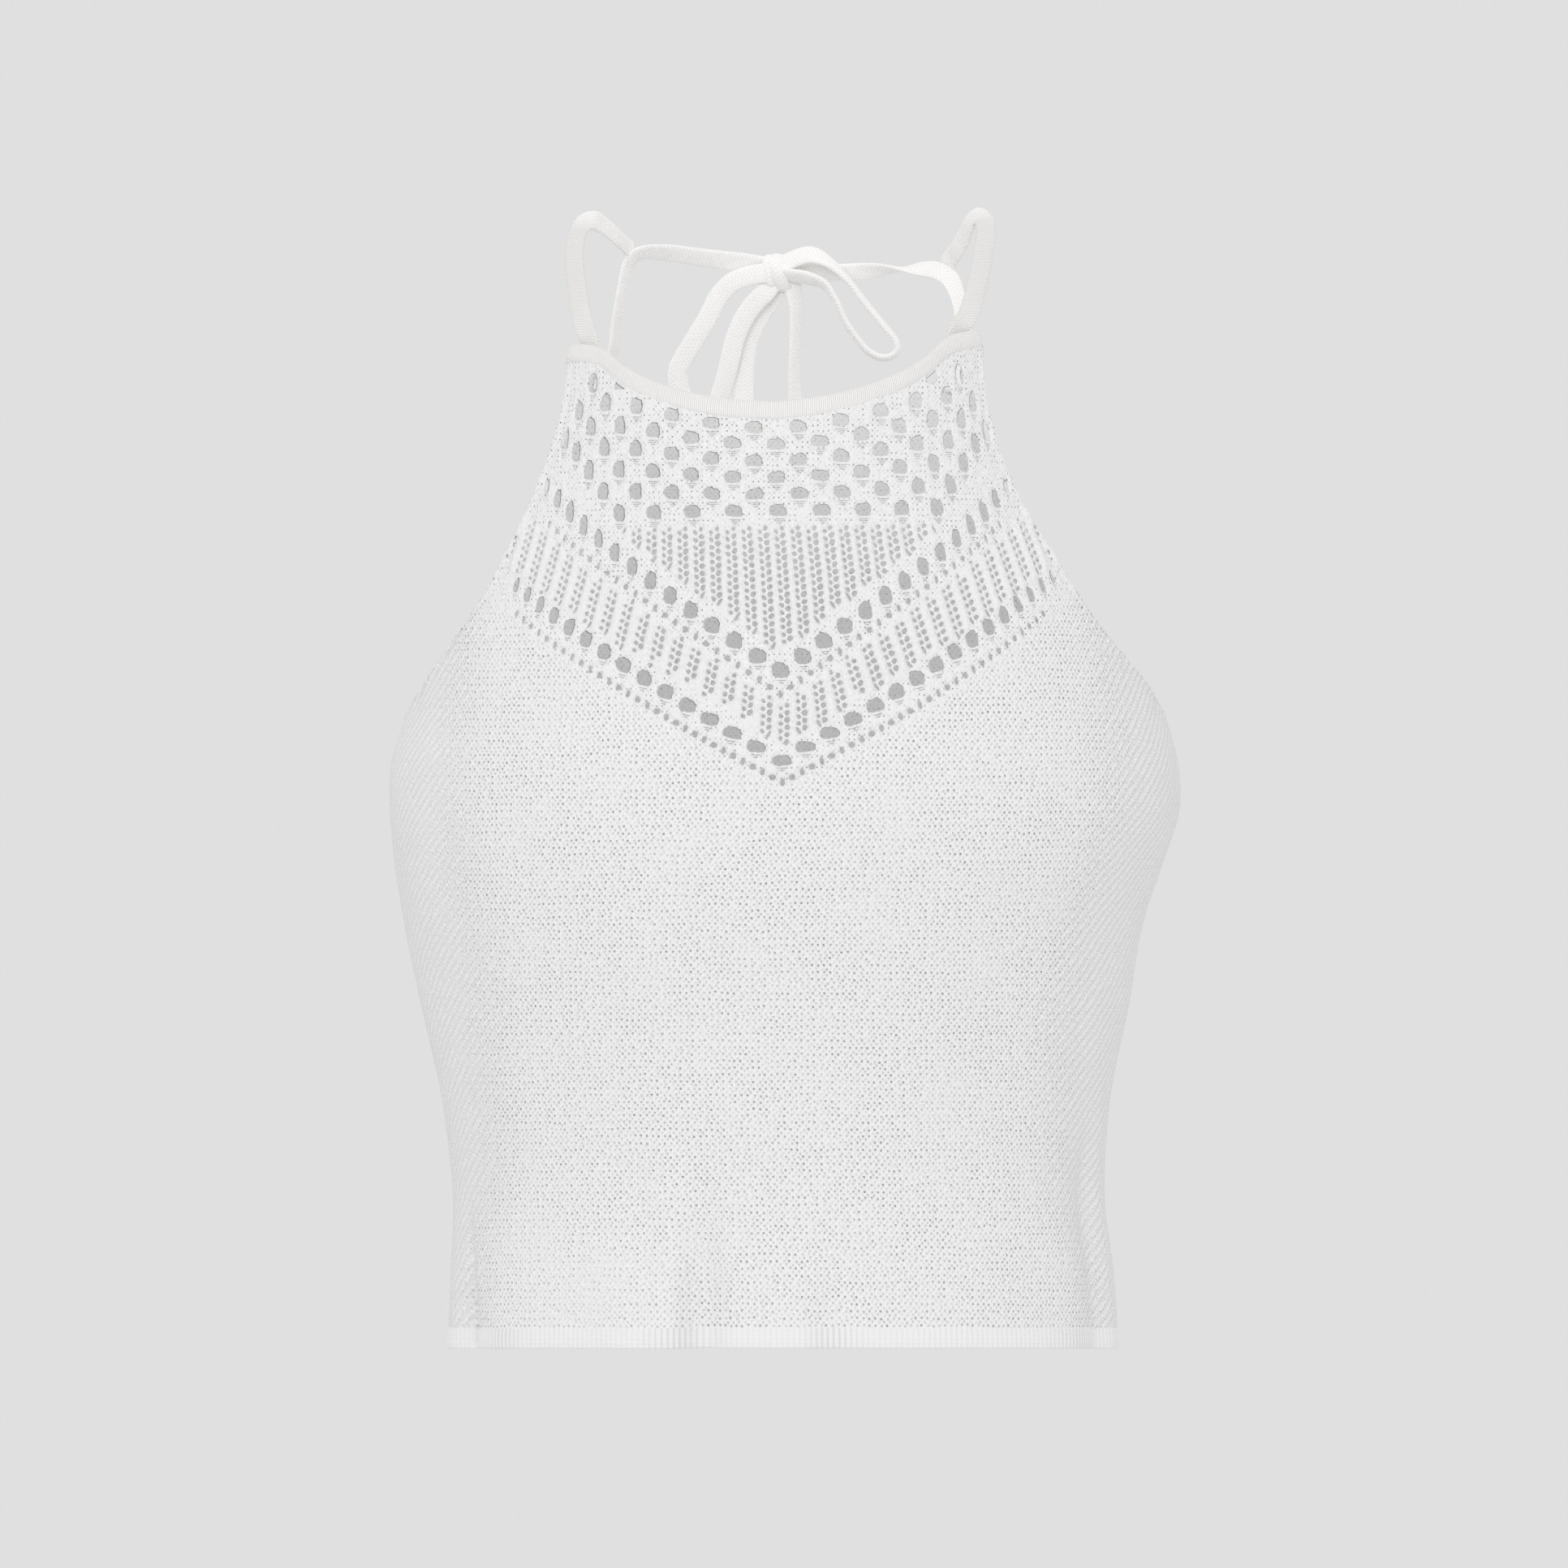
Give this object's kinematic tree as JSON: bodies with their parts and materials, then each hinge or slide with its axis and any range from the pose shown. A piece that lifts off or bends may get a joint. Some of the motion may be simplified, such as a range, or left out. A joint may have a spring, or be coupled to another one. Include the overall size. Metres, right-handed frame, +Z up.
{
  "type": "halter crop top",
  "caption": "Knitted halter crop top, filled out as worn: openwork yoke, smooth neck binding, hem rib, shoulder straps and a bow tied at the nape.",
  "frame": {"origin": "midway between the tops of the two shoulder straps, where the wearer's shoulders hold the garment", "axes": "+Z up the garment towards the neck, +Y towards the wearer's back, +X towards the wearer's left side, so the front faces -Y"},
  "size_m": [0.3004, 0.2064, 0.4357],
  "materials": {
    "white_knit": "fine matt knit",
    "cream_trim": "smooth close knit"
  },
  "bodies": {
    "root": {"front_panel": "white_knit", "back_panel": "white_knit", "hem_rib_front": "white_knit", "hem_rib_back": "white_knit", "neck_binding": "cream_trim", "strap_left": "cream_trim", "strap_right": "cream_trim", "tie_left": "cream_trim", "tie_right": "cream_trim", "bow_knot": "cream_trim", "bow_loop_left": "cream_trim", "bow_loop_right": "cream_trim", "tie_tail_left": "cream_trim", "tie_tail_right": "cream_trim"}
  },
  "joints": []
}
